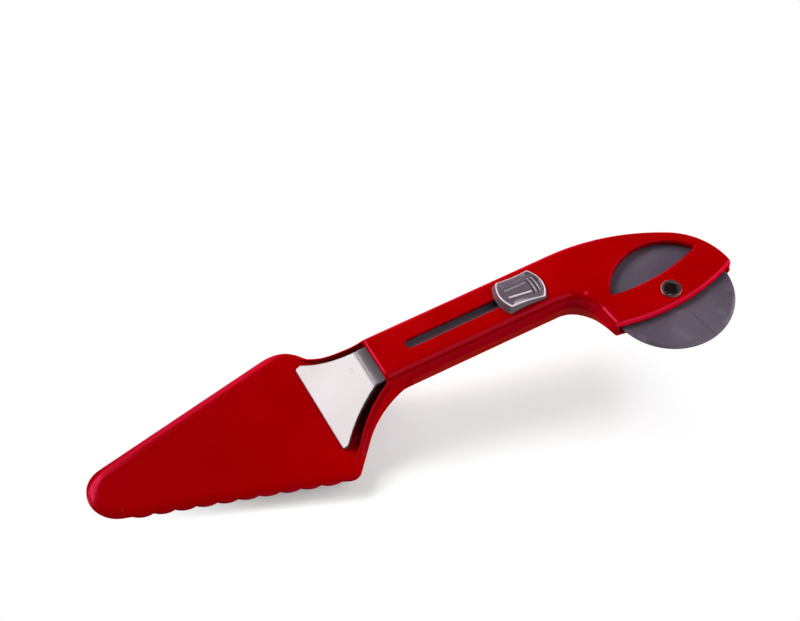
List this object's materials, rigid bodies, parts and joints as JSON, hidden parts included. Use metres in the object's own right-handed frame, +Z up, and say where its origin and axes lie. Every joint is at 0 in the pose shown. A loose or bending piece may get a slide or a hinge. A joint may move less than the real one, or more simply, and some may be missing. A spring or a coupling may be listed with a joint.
{
  "type": "pizza cutter",
  "caption": "Pizza wheel and cake server in one: a serrated blade with a thumb-driven pusher, a slotted handle and a guarded cutting wheel on a hollow axle.",
  "frame": {"origin": "on the blade's underside, on its centre line, level with the blade's shoulders", "axes": "+X from the blade towards the wheel, +Z up from the blade, the serrated edge and the wheel on -Y"},
  "size_m": [0.3003, 0.0958, 0.0434],
  "materials": {
    "red_shell": "smooth moulded plastic, glossy",
    "red_base": "smooth moulded plastic, glossy",
    "grey_pusher": "smooth pearl grey plastic",
    "grey_slider": "smooth pearl grey plastic",
    "grey_wheel": "smooth pearl grey plastic",
    "steel": "bright drawn steel",
    "eyelet": "satin aluminium"
  },
  "bodies": {
    "server": {"server_body": "red_shell", "handle_base": "red_base", "base_screws": "steel", "axle_eyelet": "eyelet", "eyelet_washer": "eyelet"},
    "slider": {"thumb_slider": "grey_slider", "slider_pin": "steel"},
    "pusher": {"pusher": "grey_pusher"},
    "wheel": {"cutter_wheel": "grey_wheel"}
  },
  "joints": [
    {"name": "pusher_slide", "type": "slide", "parent": "server", "child": "slider", "axis": [-0.9938, 0, -0.1115], "range_m": [0, 0.054]},
    {"name": "pusher_rock", "type": "hinge", "parent": "slider", "child": "pusher", "pos_m": [0.10343, 0, 0.0289], "axis": [0, 1, 0], "range_deg": [0, 3.6]},
    {"name": "wheel_spin", "type": "hinge", "parent": "server", "child": "wheel", "pos_m": [0.16439, -0.031, 0.03534], "axis": [-0.1115, 0, 0.9938], "continuous": true}
  ],
  "couplings": [
    {"joint": "pusher_rock", "follows": "pusher_slide", "rad_per_m": 1.15}
  ]
}
